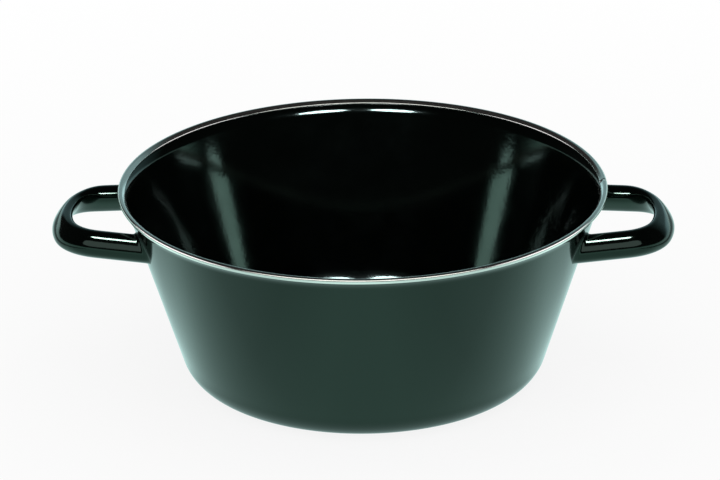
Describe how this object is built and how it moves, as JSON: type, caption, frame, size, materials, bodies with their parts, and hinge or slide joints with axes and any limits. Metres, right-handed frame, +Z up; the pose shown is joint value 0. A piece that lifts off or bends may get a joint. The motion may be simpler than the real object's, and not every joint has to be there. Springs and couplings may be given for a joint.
{
  "type": "deep frying pan",
  "caption": "Deep round frying pan with a leaning enamelled wall, a polished steel rim band and fixed loop handles.",
  "frame": {"origin": "middle of the base, on the table", "axes": "+Z up through the pan's opening, +X through the handle at the right of the picture, +Y away from the camera"},
  "size_m": [0.3568, 0.28, 0.115],
  "materials": {
    "enamel": "black-green vitreous enamel, high gloss, fired on pressed steel",
    "steel": "polished stainless steel strip"
  },
  "bodies": {
    "root": {"pan_body": "enamel", "rim_band": "steel", "handle_left": "enamel", "handle_right": "enamel"}
  },
  "joints": []
}
